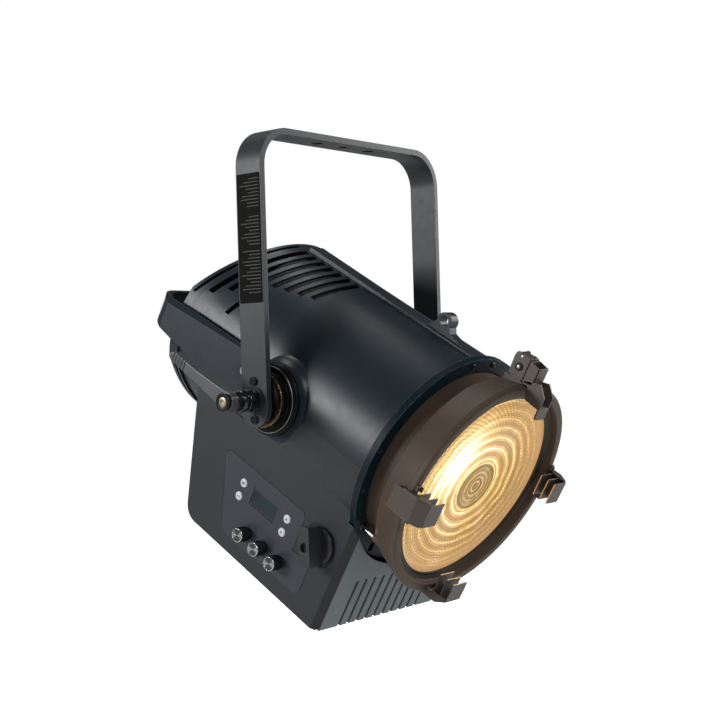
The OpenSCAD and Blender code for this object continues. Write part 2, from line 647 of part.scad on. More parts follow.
// ---- hinged top latch ----
module latch_bracket() color(ring_brown) head() difference() {
  union() {
    span([-ear_half, ear_half], [-188, -165], [112, 122.5]);
    both_sides() span([ear_half - 2, ear_half], [-184, -170.5], [120, 141]);
  }
  ring_seat();
  x_rod(2.5 + clear, [-12, 12], pin_y, pin_z);
}
module top_latch() color(ring_brown) head() difference() {
  union() {
    both_sides() side_prism([[-169, 124.5], [-168, 144.5], [-173, 148.3], [latch_face, 148.3],
        [latch_face, 124.3], [-186, 124]],
                            [latch_half - 1.5, latch_half]);
    span([-latch_half, latch_half], [latch_face, latch_face + clip_t], [124.3, 148.3]);
    span([-latch_half, latch_half], [clip_front - clip_t, latch_face + 1], [125.5, 127.5]);
    span([-latch_half, latch_half], [clip_front - clip_t, clip_front], [clip_reach + axis_z, 127.5]);
  }
  x_rod(2.5 + clear, [-14, 14], pin_y, pin_z);
}
module latch_pin() color(steel) head() {
  x_rod(2.5, [-latch_half - 1, latch_half + 1], pin_y, pin_z);
  both_sides() x_rod(4, [latch_half + 0.3, latch_half + 1.8], pin_y, pin_z);
}

// ---- light engine ----
module led_module() color([0.8, 0.75, 0.4]) head() {
  y_rod(38, [28, 33.9]);
  y_rod(17, [26.6, 28]);
}
module light_cup() color([0.8, 0.8, 0.78]) head()
  turned([[20, 26.5], [36, 26.5], [36, 24.5], [26, 24.5], [58, -26], [58, -30], [56, -30], [22, 24.5]]);
module heat_sink() color(steel) head() intersection() {
  union() {
    y_rod(84, [34, 44]);
    for (k = [-6:6]) span([12.5 * k - 1.2, 12.5 * k + 1.2], [44, 128], [-90, 90]);
  }
  y_rod(84, [30, 130]);
}
module fan_frame() color(black) head() difference() {
  span([-46, 46], [134, 159], about(axis_z, 44));
  y_rod(41.5, [130, 165]);
}
module fan_rotor() color([0.1, 0.1, 0.11]) head() {
  y_rod(17, [136, 157]);
  for (k = [0:6]) translate([0, 146.5, axis_z]) rotate([0, k * 360 / 7, 0])
    translate([27, 0, 0]) rotate([35, 0, 0]) cube([24, 2, 16], center = true);
}

// ---- power and connections ----
module power_supply() color(steel) head() {
  low = -box_drop + wall + 4;
  difference() {
    span([-30, 85], [-120, 30], [low, -140]);
    span([-28, 83], [-118, 28], [low + 2, -142]);
    for (k = [0:8]) span([-40, 95], [15 * k - 111, 15 * k - 105], [low + 8, -148]);
  }
  for (x = [-22, 77]) for (y = [-110, 20]) translate([x, y, -box_drop + wall]) cylinder(r = 4, h = 4);
}
rear_sockets = [[-58, -2, 12], [-20, -2, 12], [20, -2, 11], [58, -2, 11], [-39, -34, 6.5]];
// a place on the box's sloping back: across, up the slope from its middle
module on_slope(across, up) translate([across, slope_y(-125), -125]) rotate([-90 - atan(rear_slope), 0, 0])
  translate([0, -up, 0]) children();
module socket(r, depth) difference() {
  union() {
    translate([-13, -15.5, 0.02]) cube([26, 31, 2]);
    translate([0, 0, -22]) cylinder(r = r, h = 25.5);
  }
  translate([0, 0, 3.6 - depth]) cylinder(r = r - 2.5, h = depth);
}
module power_connectors() color([0.1, 0.2, 0.5]) head() for (k = [0, 1])
  on_slope(rear_sockets[k][0], rear_sockets[k][1]) socket(12, 12);
module data_connectors() color(steel) head() for (k = [2, 3])
  on_slope(rear_sockets[k][0], rear_sockets[k][1]) socket(11, 12);
module fuse_holder() color(black) head() on_slope(rear_sockets[4][0], rear_sockets[4][1]) {
  translate([0, 0, -25]) cylinder(r = 6.5, h = 25.02);
  translate([0, 0, 0.02]) cylinder(r = 8.5, h = 7);
}

yoke_bracket();
rating_label();
friction_plates();
brass_washers();
plate_screws();
hub_washers();
lock_hub();
lock_lever();
lock_screw();
side_bosses();
pivot_studs();
pivot_nut();
chassis_band();
top_shell();
lower_housing();
rear_cover();
front_flange();
flange_screws();
guide_bushes();
front_panel();
bottom_plate();
rear_handle();
handle_screws();
control_panel();
display_window();
display_module();
control_board();
encoder_bodies();
button_1();
button_2();
button_3();
button_4();
encoder_knob_1();
encoder_knob_2();
encoder_knob_3();
zoom_knob();
zoom_shaft();
zoom_bearings();
lens_tube();
accessory_ring();
fresnel_lens();
lens_retainer();
guide_rods();
zoom_rack();
clip_left();
clip_right();
clip_bottom();
latch_bracket();
top_latch();
latch_pin();
led_module();
light_cup();
heat_sink();
fan_frame();
fan_rotor();
power_supply();
power_connectors();
data_connectors();
fuse_holder();
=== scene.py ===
import json
import math

import bmesh
import bpy
from mathutils import Matrix, Vector


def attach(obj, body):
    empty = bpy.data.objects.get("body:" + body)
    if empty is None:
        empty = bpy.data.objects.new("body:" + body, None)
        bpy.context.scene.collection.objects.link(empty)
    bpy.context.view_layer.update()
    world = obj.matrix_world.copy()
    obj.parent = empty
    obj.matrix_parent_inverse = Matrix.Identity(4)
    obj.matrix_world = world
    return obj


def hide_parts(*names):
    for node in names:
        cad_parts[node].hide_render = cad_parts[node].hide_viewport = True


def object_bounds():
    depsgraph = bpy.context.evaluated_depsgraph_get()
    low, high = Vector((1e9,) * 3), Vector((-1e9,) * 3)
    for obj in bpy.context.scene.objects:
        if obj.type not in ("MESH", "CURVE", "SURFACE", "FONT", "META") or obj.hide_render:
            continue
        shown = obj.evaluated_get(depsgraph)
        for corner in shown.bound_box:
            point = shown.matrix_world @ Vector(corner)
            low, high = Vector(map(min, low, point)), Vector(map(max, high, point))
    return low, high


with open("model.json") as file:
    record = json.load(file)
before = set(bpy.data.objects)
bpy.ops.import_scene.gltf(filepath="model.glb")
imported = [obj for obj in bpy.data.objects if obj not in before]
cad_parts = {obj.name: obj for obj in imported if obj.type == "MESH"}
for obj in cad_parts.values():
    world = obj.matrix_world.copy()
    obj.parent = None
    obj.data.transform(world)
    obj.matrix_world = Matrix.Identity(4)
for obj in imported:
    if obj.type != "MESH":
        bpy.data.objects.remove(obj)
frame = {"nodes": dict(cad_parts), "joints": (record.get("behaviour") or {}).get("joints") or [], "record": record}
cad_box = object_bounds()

MM = 0.001
JOINTS = {j["name"]: j for j in frame["joints"]}
NODES = frame["nodes"]
PIVOT = Vector(JOINTS["head_tilt"]["pos_m"])
LENS_AXIS = Vector(JOINTS["lens_slide"]["axis"])
TILT = math.atan2(-LENS_AXIS.z, -LENS_AXIS.y)

# Two working spaces in millimetres with their origin at the tilt pivot: the head's, level along its
# optical axis, and the yoke's, upright.
HEAD = Matrix.Translation(PIVOT) @ Matrix.Rotation(TILT, 4, "X") @ Matrix.Scale(MM, 4)
YOKE = Matrix.Translation(PIVOT) @ Matrix.Scale(MM, 4)


def node_box(node, space=HEAD):
    """Lowest and highest corner of a CAD node in a working space, in millimetres."""
    into = space.inverted()
    points = [into @ v.co for v in NODES[node].data.vertices]
    return Vector(map(min, zip(*points))), Vector(map(max, zip(*points)))


def joint_place(joint):
    """A joint's place in the head's space, in millimetres."""
    return HEAD.inverted() @ Vector(JOINTS[joint]["pos_m"])


# ---------------------------------------------------------------- materials


class Shader:
    """Adds and links the shader nodes of one material."""

    def __init__(self, name):
        self.material = bpy.data.materials.new(name)
        self.material.use_nodes = True
        self.tree = self.material.node_tree
        self.surface = self.tree.nodes["Principled BSDF"]

    def node(self, kind, **settings):
        """A new shader node with its settings."""
        made = self.tree.nodes.new("ShaderNode" + kind)
        for key, value in settings.items():
            setattr(made, key, value)
        return made

    def link(self, source, target):
        self.tree.links.new(source, target)

    def put(self, target, value):
        """Sets a socket to a number, colour or vector, or links it to another socket."""
        if isinstance(value, bpy.types.NodeSocket):
            self.link(value, target)
        else:
            target.default_value = value

    def math(self, operation, a, b=0.0):
        """One sum of two numbers or sockets."""
        made = self.node("Math", operation=operation)
        self.put(made.inputs[0], a)
        self.put(made.inputs[1], b)
        return made.outputs[0]

    def add(self, total, value, gain):
        """A total plus a value times a gain."""
        return self.math("ADD", total, self.math("MULTIPLY", value, gain))

    def coords(self):
        return self.node("TexCoord").outputs["Object"]

    def local_mm(self, centre):
        """Millimetres from a point of the head, along the head's axes."""
        mapping = self.node("Mapping", vector_type="TEXTURE")
        self.link(self.coords(), mapping.inputs["Vector"])
        mapping.inputs["Location"].default_value = HEAD @ Vector(centre)
        mapping.inputs["Rotation"].default_value = (TILT, 0, 0)
        mapping.inputs["Scale"].default_value = (MM, MM, MM)
        return mapping.outputs[0]

    def noise(self, size_mm, detail=3.0, rough=0.5):
        """Cloudy grey from 0 to 1, with lumps of about this size."""
        made = self.node("TexNoise")
        self.link(self.coords(), made.inputs["Vector"])
        made.inputs["Scale"].default_value = 1 / (size_mm * MM)
        made.inputs["Detail"].default_value = detail
        made.inputs["Roughness"].default_value = rough
        return made.outputs["Fac"]

    def remap(self, value, low, high, to_low=0.0, to_high=1.0):
        """Stretches one range of values onto another and holds it at the ends."""
        made = self.node("MapRange")
        self.link(value, made.inputs["Value"])
        for key, number in zip(("From Min", "From Max", "To Min", "To Max"), (low, high, to_low, to_high)):
            made.inputs[key].default_value = number
        return made.outputs[0]

    def mix(self, factor, a, b):
        made = self.node("Mix", data_type="RGBA")
        self.put(made.inputs["Factor"], factor)
        self.put(made.inputs["A"], a)
        self.put(made.inputs["B"], b)
        return made.outputs["Result"]

    def bump(self, height, depth_mm, strength=1.0, normal=None):
        """A surface normal that follows a height, on top of another normal if one is given."""
        made = self.node("Bump")
        made.inputs["Distance"].default_value = depth_mm * MM
        made.inputs["Strength"].default_value = strength
        self.link(height, made.inputs["Height"])
        if normal is not None:
            self.link(normal, made.inputs["Normal"])
        return made.outputs[0]

    def rounded(self, radius_mm):
        """A surface normal that rounds the sharp edges."""
        made = self.node("Bevel", samples=4)
        made.inputs["Radius"].default_value = radius_mm * MM
        return made.outputs[0]

    def edge_mask(self, rounded_normal):
        """1 along the sharp edges that the rounded normal softens, 0 elsewhere."""
        dot = self.node("VectorMath", operation="DOT_PRODUCT")
        self.link(rounded_normal, dot.inputs[0])
        self.link(self.node("NewGeometry").outputs["True Normal"], dot.inputs[1])
        return self.remap(self.math("SUBTRACT", 1.0, dot.outputs["Value"]), 0.01, 0.12)

    def radius(self, a, b):
        """Distance from the centre of two coordinates."""
        squares = self.math("ADD", self.math("MULTIPLY", a, a), self.math("MULTIPLY", b, b))
        return self.math("SQRT", squares)

    def hill(self, value, target, width):
        """A smooth hill, 1 where the value meets its target."""
        off = self.math("DIVIDE", self.math("SUBTRACT", value, target), width)
        return self.math("EXPONENT", self.math("MULTIPLY", self.math("MULTIPLY", off, off), -1.0))


def rgba(color, scale=1.0):
    """A colour made lighter or darker, with full alpha."""
    return tuple(min(1.0, c * scale) for c in color) + (1.0,)


def coated(name, color, rough=0.45, metallic=0.0, mottle=0.12, grain_mm=0.5, grain_deep=0.02,
           edge_mm=0.5, wear_and_glint=0.35, wear_and_glint_color=(0.2, 0.2, 0.2), coat=0.0, shine=0.5):
    """Paint, plastic or metal: soft cloudy colour, a fine grained surface and lighter edges, partly worn and
    partly a painted highlight.
    """
    s = Shader(name)
    cloud = s.noise(28, 4)
    fine = s.noise(grain_mm, 2)
    smudge = s.noise(9, 3, rough=0.65)
    base = s.mix(cloud, rgba(color, 1 - mottle), rgba(color, 1 + mottle))
    base = s.mix(s.remap(fine, 0.35, 0.7, 0.0, 0.35), base, rgba(color, 1 + 2 * mottle))
    normal = s.rounded(edge_mm)
    # Lightens the sharp edges: partly worn paint, partly a painted highlight along them.
    glint_and_rub = s.math("MULTIPLY", s.edge_mask(normal), s.remap(smudge, 0.4, 0.7, 0.25, 1.0))
    base = s.mix(s.math("MULTIPLY", glint_and_rub, wear_and_glint), base, rgba(wear_and_glint_color))
    s.link(base, s.surface.inputs["Base Color"])
    roughness = s.math("ADD", s.remap(smudge, 0.3, 0.7, rough - 0.025, rough + 0.03),
                       s.remap(fine, 0.3, 0.7, -0.03, 0.03))
    s.link(roughness, s.surface.inputs["Roughness"])
    s.surface.inputs["Metallic"].default_value = metallic
    s.surface.inputs["Coat Weight"].default_value = coat
    s.surface.inputs["Specular IOR Level"].default_value = shine
    s.link(s.bump(fine, grain_deep, 0.6, normal), s.surface.inputs["Normal"])
    return s.material


def bare_metal(name, color, rough=0.3, wear_and_glint_color=(0.8, 0.8, 0.8)):
    """Bare metal with a fine grain and bright edges, partly worn and partly a painted glint."""
    return coated(name, color, rough, metallic=1.0, mottle=0.08, grain_mm=0.35, edge_mm=0.3, wear_and_glint=0.5,
                  wear_and_glint_color=wear_and_glint_color)


def lens_rings(s, r, across):
    """The light in the lens's prism rings: bright crests, the dark troughs between them and fine lines.
    The rings crowd together towards the rim, as their number goes with a power of the radius."""
    power, scale, start = 1.35, 63.4, 1.70
    wavy = s.math("ADD", r, s.remap(s.noise(26, 2), 0.3, 0.7, -1.1, 1.1))
    number = s.math("SUBTRACT", s.math("DIVIDE", s.math("POWER", wavy, power), scale), start)
    wave = s.math("COSINE", s.math("MULTIPLY", number, 2 * math.pi))
    ripple = s.math("COSINE", s.math("MULTIPLY", number, 8 * math.pi))
    crest = s.math("POWER", s.remap(wave, -1, 1), 7.0)
    crest = s.math("MULTIPLY", crest, s.remap(r, 92, 45, 0.25, 1.0))
    crest = s.math("MULTIPLY", crest, s.remap(across, -95, 60, 0.35, 1.0))
    trough = s.math("POWER", s.remap(wave, 1, -1), 4.0)
    trough = s.math("MULTIPLY", trough, s.remap(r, 60, 95, 0.14, 0.05))
    fine = s.math("POWER", s.remap(ripple, -1, 1), 3.0)
    return crest, trough, fine


def lens_eye(s, r, level):
    """Dims the light within 26 mm of the centre and lays thin bright rings over it."""
    eye = s.remap(r, 31, 26)
    level = s.math("MULTIPLY", level, s.math("SUBTRACT", 1.0, s.math("MULTIPLY", eye, 0.68)))
    for radius, width, gain in ((6.0, 0.9, 0.40), (11.0, 0.9, 0.34), (16.5, 0.8, 0.16),
                                (21.5, 0.8, 0.20), (27.5, 1.2, 0.46)):
        level = s.add(level, s.hill(r, radius, width), gain)
    return level


def lens_hatch(s, r, angle):
    """The crossed lines of the lens's rear face, which show most near the rim."""
    line_pitch, spokes, slant = 2.9, 90, 1.1
    weave = s.math("SINE", s.add(s.math("MULTIPLY", angle, spokes), r, slant))
    hatch = s.math("MULTIPLY", s.math("SINE", s.math("MULTIPLY", r, 2 * math.pi / line_pitch)), weave)
    return s.math("MULTIPLY", hatch, s.remap(r, 40, 78, 0.06, 0.34))


def lens_color(s, level, r, across):
    """Dark amber through gold to white by the light's level, with a rose tint at the rim on the +X side."""
    ramp = s.node("ValToRGB")
    s.link(level, ramp.inputs[0])
    stops = ramp.color_ramp.elements
    stops[0].color = (0.10, 0.06, 0.015, 1)
    stops[1].color = (1.0, 1.0, 0.93, 1)
    for position, color in ((0.16, (0.27, 0.19, 0.06, 1)), (0.33, (0.56, 0.31, 0.11, 1)),
                            (0.48, (0.80, 0.49, 0.17, 1)), (0.66, (0.98, 0.77, 0.34, 1)),
                            (0.85, (1.0, 0.93, 0.62, 1))):
        stop = stops.new(position)
        stop.color = color
    rose = s.math("MULTIPLY", s.remap(r, 52, 98, 0.0, 0.62), s.remap(across, 55, -5))
    return s.mix(rose, ramp.outputs[0], (0.64, 0.375, 0.185, 1))


def lens_material(centre):
    """Lit fresnel glass: prism rings round a dark eye, a hot arc on the -X side and a hatched amber rim."""
    s = Shader("lit_lens")
    split = s.node("SeparateXYZ")
    s.link(s.local_mm(centre), split.inputs[0])
    x, z = split.outputs["X"], split.outputs["Z"]
    r = s.radius(x, z)
    # The hot arc lies 58 mm from the centre, up and to the -X side.
    across = s.add(s.math("MULTIPLY", x, -0.86), z, 0.5)
    along = s.add(s.math("MULTIPLY", x, 0.5), z, 0.86)
    hot = s.math("MULTIPLY", s.hill(across, 58, 21), s.hill(along, 2, 40))
    crest, trough, fine = lens_rings(s, r, across)
    level = s.add(s.remap(r, 100, 40, 0.24, 0.42), hot, 0.68)
    level = s.add(level, across, 0.0014)
    level = s.add(level, crest, 0.5)
    level = s.math("SUBTRACT", level, trough)
    level = s.add(level, s.math("SUBTRACT", fine, 0.45), 0.15)
    level = lens_eye(s, r, level)
    hatch = lens_hatch(s, r, s.math("ARCTAN2", z, x))
    cloud = s.remap(s.noise(7, 4, rough=0.7), 0.3, 0.7, 0.86, 1.14)
    level = s.math("MULTIPLY", s.math("MULTIPLY", level, s.math("ADD", hatch, 1.0)), cloud)
    s.link(lens_color(s, level, r, across), s.surface.inputs["Emission Color"])
    s.link(s.remap(level, 0.3, 1.2, 0.92, 1.25), s.surface.inputs["Emission Strength"])
    s.link(s.mix(cloud, (0.10, 0.07, 0.03, 1), (0.16, 0.11, 0.05, 1)), s.surface.inputs["Base Color"])
    s.link(s.remap(s.noise(6), 0.3, 0.7, 0.12, 0.24), s.surface.inputs["Roughness"])
    s.surface.inputs["IOR"].default_value = 1.4
    s.link(s.bump(hatch, 0.1, 0.4), s.surface.inputs["Normal"])
    return s.material


def dial_material(name, centre):
    """A spun metal face: light and dark sectors round its centre, a painted sheen, and fine turned rings."""
    s = Shader(name)
    split = s.node("SeparateXYZ")
    s.link(s.local_mm(centre), split.inputs[0])
    y, z = split.outputs["Y"], split.outputs["Z"]
    angle = s.math("ARCTAN2", z, y)
    r = s.radius(y, z)
    # Light and dark sectors by angle: a painted sheen of the spun metal.
    sheen_sector = s.remap(s.math("COSINE", s.math("ADD", s.math("MULTIPLY", angle, 2.0), 0.9)), 0.1, 1.0)
    turned = s.remap(s.math("SINE", s.math("MULTIPLY", r, 9.0)), -1, 1, 0.0, 0.18)
    shade = s.math("ADD", s.math("MULTIPLY", sheen_sector, 0.8), turned)
    s.link(s.mix(shade, (0.03, 0.032, 0.035, 1), (0.36, 0.37, 0.38, 1)), s.surface.inputs["Base Color"])
    s.surface.inputs["Metallic"].default_value = 0.7
    s.link(s.remap(s.noise(2), 0.3, 0.7, 0.3, 0.42), s.surface.inputs["Roughness"])
    s.link(s.bump(turned, 0.02, 0.5), s.surface.inputs["Normal"])
    return s.material


# The lighter edges of this paint, on the louvre blades among others, are partly worn paint and partly painted
# highlight.
PAINT = coated("charcoal_paint", (0.0110, 0.0170, 0.0230), 0.37, wear_and_glint_color=(0.10, 0.11, 0.12), grain_mm=0.7,
               grain_deep=0.04, shine=0.33)
# The yoke's light edge lines are partly worn paint and partly painted highlight.
YOKE_PAINT = coated("yoke_paint", (0.023, 0.025, 0.028), 0.45, wear_and_glint_color=(0.24, 0.25, 0.27), wear_and_glint=0.9,
                    edge_mm=0.9, grain_mm=0.6, shine=0.35)
BOX_PAINT = coated("box_paint", (0.019, 0.020, 0.024), 0.47, wear_and_glint_color=(0.10, 0.11, 0.12), grain_mm=0.7,
                   grain_deep=0.04, edge_mm=1.2, shine=0.34)
# The front panel has the housing's charcoal paint; this much lighter copy is painted light on its face.
FRONT_LIT_PAINT = coated("front_lit_paint", (0.115, 0.136, 0.145), 0.5, wear_and_glint_color=(0.2, 0.22, 0.23), grain_mm=0.7,
                     shine=0.3)
# The light grey-blue line along the flange's rim edges is a painted highlight.
FLANGE_PAINT = coated("flange_paint", (0.004, 0.012, 0.018), 0.42, wear_and_glint_color=(0.26, 0.33, 0.36), wear_and_glint=0.9,
                      edge_mm=0.7, shine=0.12)
RING_PAINT = coated("ring_paint", (0.061, 0.041, 0.027), 0.5, wear_and_glint_color=(0.15, 0.11, 0.08), shine=0.25)
# The light edges of the clips and latch are painted highlights.
CLIP_PAINT = coated("clip_paint", (0.064, 0.050, 0.042), 0.42, wear_and_glint_color=(0.40, 0.33, 0.26), wear_and_glint=0.9,
                    shine=0.4)
# Bright gold metal for the clips' cut edges: a painted glow from the lit lens.
LENS_GLOW_EDGE = bare_metal("lens_glow_edge", (0.75, 0.56, 0.30), 0.32, wear_and_glint_color=(0.9, 0.72, 0.42))
BOSS = coated("boss_plastic", (0.0012, 0.0015, 0.0018), 0.42, wear_and_glint_color=(0.14, 0.14, 0.14), edge_mm=0.6,
              shine=0.12)
HUB = coated("hub_plastic", (0.006, 0.006, 0.008), 0.2, wear_and_glint_color=(0.1, 0.1, 0.11), coat=0.4)
LEVER = coated("lever_metal", (0.085, 0.088, 0.092), 0.34, metallic=0.35, wear_and_glint_color=(0.4, 0.4, 0.4),
               edge_mm=0.8)
SCREW = bare_metal("screw_steel", (0.42, 0.40, 0.36), 0.3)
DARK_SCREW = coated("dark_screw", (0.02, 0.022, 0.025), 0.3, metallic=0.8, wear_and_glint_color=(0.3, 0.3, 0.3))
BRONZE = bare_metal("bush_bronze", (0.10, 0.075, 0.045), 0.45)
DULL_BRASS = bare_metal("dull_brass", (0.30, 0.25, 0.17), 0.45)
# A light steel for the pin's small tips: a painted highlight.
PIN_GLINT = coated("pin_glint_steel", (0.62, 0.58, 0.53), 0.35, metallic=0.3)
BRASS = bare_metal("brass", (0.75, 0.52, 0.22), 0.25, wear_and_glint_color=(0.95, 0.75, 0.4))
# A light ring for each boss's chamfer edge: a painted highlight.
BOSS_LINE_HIGHLIGHT = bare_metal("boss_line_highlight", (0.20, 0.19, 0.17), 0.4)
STEEL = bare_metal("sheet_steel", (0.55, 0.55, 0.54), 0.35)
CHROME = coated("rod_chrome", (0.85, 0.85, 0.84), 0.08, metallic=1.0, mottle=0.04, grain_deep=0.003)
LABEL = coated("label_film", (0.0035, 0.0032, 0.003), 0.7, wear_and_glint_color=(0.03, 0.03, 0.03), shine=0.08)
LABEL_INK = coated("label_ink", (0.07, 0.07, 0.066), 0.6, shine=0.1)
PANEL = coated("panel_plate", (0.019, 0.022, 0.031), 0.42, wear_and_glint_color=(0.14, 0.15, 0.17), edge_mm=0.3)
SCREEN = coated("display_glass", (0.018, 0.032, 0.034), 0.12, coat=0.6, mottle=0.2, grain_deep=0.001)
BOARD = coated("circuit_board", (0.02, 0.12, 0.05), 0.45)
BUTTON = coated("button_plastic", (0.55, 0.60, 0.62), 0.4, mottle=0.05, wear_and_glint=0.1)
MARK = coated("button_mark", (0.12, 0.14, 0.15), 0.5)
KNOB = coated("knob_plastic", (0.005, 0.006, 0.0065), 0.42, wear_and_glint_color=(0.08, 0.08, 0.08))
RIM = bare_metal("dial_rim", (0.62, 0.62, 0.62), 0.24)
# Near black: the corner trim's own colour, and painted shade on the louvre liner and the zoom recess floor.
TRIM_AND_SHADE = coated("corner_trim", (0.004, 0.004, 0.005), 0.5, wear_and_glint_color=(0.02, 0.02, 0.02))
GRIP = coated("grip_plastic", (0.016, 0.017, 0.020), 0.4, wear_and_glint_color=(0.1, 0.1, 0.1))
RETAINER = coated("retainer", (0.012, 0.010, 0.008), 0.5)
# The heat sink's fins are near black as painted shade inside the housing behind the louvres.
SHADED_FINS = coated("fin_aluminium", (0.012, 0.012, 0.013), 0.55, metallic=0.6)
REFLECTOR = coated("reflector", (0.8, 0.8, 0.78), 0.15, metallic=1.0, grain_mm=2.5, grain_deep=0.1)
LED = coated("led_phosphor", (0.85, 0.62, 0.12), 0.5, grain_mm=1.5)
FAN = coated("fan_plastic", (0.015, 0.015, 0.017), 0.45)
INLET = coated("inlet_blue", (0.02, 0.06, 0.35), 0.35)
CONNECTOR = bare_metal("connector_metal", (0.5, 0.5, 0.5), 0.3)
LENS_CENTRE = (node_box("fresnel_lens")[0] + node_box("fresnel_lens")[1]) / 2
LENS = lens_material(LENS_CENTRE)

CAD_MATERIALS = {
    "body_paint": PAINT, "shell_paint": PAINT, "clip_paint": CLIP_PAINT, "flange_paint": FLANGE_PAINT,
    "ring_paint": RING_PAINT, "boss_black": BOSS, "hub_black": HUB, "lever_metal": LEVER,
    "screw_steel": SCREW, "brass_ring": BRASS, "sheet_steel": STEEL, "rod_chrome": CHROME,
    "label_film": LABEL, "panel_black": PANEL, "display_glass": SCREEN, "circuit_board": BOARD,
    "button_grey": BUTTON, "knob_black": KNOB, "grip_knob": GRIP, "retainer_black": RETAINER,
    "led_phosphor": LED, "reflector": REFLECTOR, "fin_aluminium": SHADED_FINS, "fan_plastic": FAN,
    "inlet_blue": INLET, "connector_metal": CONNECTOR, "fuse_black": KNOB, "lens_glass": LENS,
}


def dress(node, material):
    """Gives a CAD node one material."""
    mesh = NODES[node].data
    mesh.materials.clear()
    mesh.materials.append(material)


for part in frame["record"]["subparts"]:
    dress(part["node"], CAD_MATERIALS[part["material_slot"]])
dress("yoke_bracket", YOKE_PAINT)
dress("guide_bushes", BRONZE)
dress("lower_housing", BOX_PAINT)
dress("front_panel", FRONT_LIT_PAINT)
dress("plate_screws", DARK_SCREW)
dress("flange_screws", DARK_SCREW)


# ---------------------------------------------------------------- building blocks

AXES = {"x": (0, 1, 2), "y": (1, 2, 0), "z": (2, 0, 1)}


def soften(points, radius, steps=3, closed=True):
    """Rounds the corners of an outline or profile."""
    result = []
    for i, point in enumerate(points):
        if not closed and i in (0, len(points) - 1):
            result.append(tuple(point))
            continue
        corner = Vector(point)
        ends = []
        for other in (points[i - 1], points[(i + 1) % len(points)]):
            way = Vector(other) - corner
            ends.append(corner + way.normalized() * min(radius, way.length * 0.45))
        for k in range(steps + 1):
            t = k / steps
            result.append(tuple(ends[0] * (1 - t) ** 2 + corner * 2 * t * (1 - t) + ends[1] * t ** 2))
    return result


class Form:
    """A mesh being built in the millimetres of a working space."""

    def __init__(self, space=HEAD):
        self.mesh = bmesh.new()
        self.space = space

    def lathe(self, profile, centre, axis="y", steps=96):
        """Turns (radius, along) points about an axis through centre. A profile that ends away from the
        axis is closed into a ring. A third number on a point cuts every second vertex in by that much."""
        along_i, u_i, v_i = AXES[axis]
        rings = []
        for radius, along, *groove in profile:
            ring = []
            for k in range(steps if radius > 0 else 1):
                r = radius - (groove[0] if groove and k % 2 else 0.0)
                spot = list(centre)
                spot[along_i] += along
                spot[u_i] += r * math.cos(2 * math.pi * k / steps)
                spot[v_i] += r * math.sin(2 * math.pi * k / steps)
                ring.append(self.mesh.verts.new(spot))
            rings.append(ring)
        pairs = list(zip(rings, rings[1:]))
        if profile[0][0] > 0 and profile[-1][0] > 0:
            pairs.append((rings[-1], rings[0]))
        for a, b in pairs:
            for k in range(steps):
                corners = (a[k % len(a)], a[(k + 1) % len(a)], b[(k + 1) % len(b)], b[k % len(b)])
                corners = list(dict.fromkeys(corners))
                if len(corners) > 2:
                    self.mesh.faces.new(corners)
        return self

    def prism(self, outline, axis, low, high, turn=None):
        """Draws an outline out along an axis. Its points are (y, z), (z, x) or (x, y) for x, y or z."""
        along_i, u_i, v_i = AXES[axis]
        loops = []
        for along in (low, high):
            loop = []
            for u, v in outline:
                spot = Vector((0, 0, 0))
                spot[along_i] = along
                spot[u_i] = u
                spot[v_i] = v
                loop.append(self.mesh.verts.new(turn @ spot if turn else spot))
            loops.append(loop)
        for loop in loops:
            self.mesh.faces.new(loop)
        for k in range(len(outline)):
            n = (k + 1) % len(outline)
            self.mesh.faces.new((loops[0][k], loops[0][n], loops[1][n], loops[1][k]))
        return self

    def block(self, x, y, z):
        """A box between two values on each axis."""
        return self.prism([(y[0], z[0]), (y[1], z[0]), (y[1], z[1]), (y[0], z[1])], "x", *x)

    def make(self, name, material, bevel=0.0, segments=2, sharp=35):
        """Turns the form into a scene object with one material."""
        bmesh.ops.recalc_face_normals(self.mesh, faces=self.mesh.faces)
        self.mesh.transform(self.space)
        data = bpy.data.meshes.new(name)
        self.mesh.to_mesh(data)
        self.mesh.free()
        data.materials.append(material)
        made = bpy.data.objects.new(name, data)
        bpy.context.scene.collection.objects.link(made)
        return smooth(made, bevel, segments, sharp)


def smooth(made, bevel=0.0, segments=2, sharp=35):
    """Shades a piece smooth apart from its sharp edges, which a bevel in millimetres rounds."""
    made.data.shade_smooth()
    if bevel:
        rounding = made.modifiers.new("rounding", "BEVEL")
        rounding.width = bevel * MM
        rounding.segments = segments
        rounding.limit_method = "ANGLE"
        rounding.angle_limit = math.radians(sharp)
        rounding.harden_normals = True
    made.data.set_sharp_from_angle(angle=math.radians(sharp))
    return made


def cut(made, *cutters):
    """Takes the cutters' shapes out of a piece and deletes them."""
    for cutter in cutters:
        hole = made.modifiers.new("hole", "BOOLEAN")
        hole.operation = "DIFFERENCE"
        hole.solver = "EXACT"
        hole.object = cutter
    rounding = [m for m in made.modifiers if m.type == "BEVEL"]
    settings = [(m.width, m.segments, m.angle_limit) for m in rounding]
    for m in rounding:
        made.modifiers.remove(m)
    bpy.context.view_layer.update()
    whole = bpy.data.meshes.new_from_object(made.evaluated_get(bpy.context.evaluated_depsgraph_get()))
    made.modifiers.clear()
    made.data = whole
    for width, segments, angle in settings:
        smooth(made, width / MM, segments, math.degrees(angle))
    for cutter in cutters:
        bpy.data.objects.remove(cutter)
    return made


def place(made, body, slot, *nodes):
    """Hangs a piece on a body and hides any CAD nodes named, the ones it stands for. slot is not used."""
    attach(made, body)
    if nodes:
        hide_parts(*nodes)
    return made


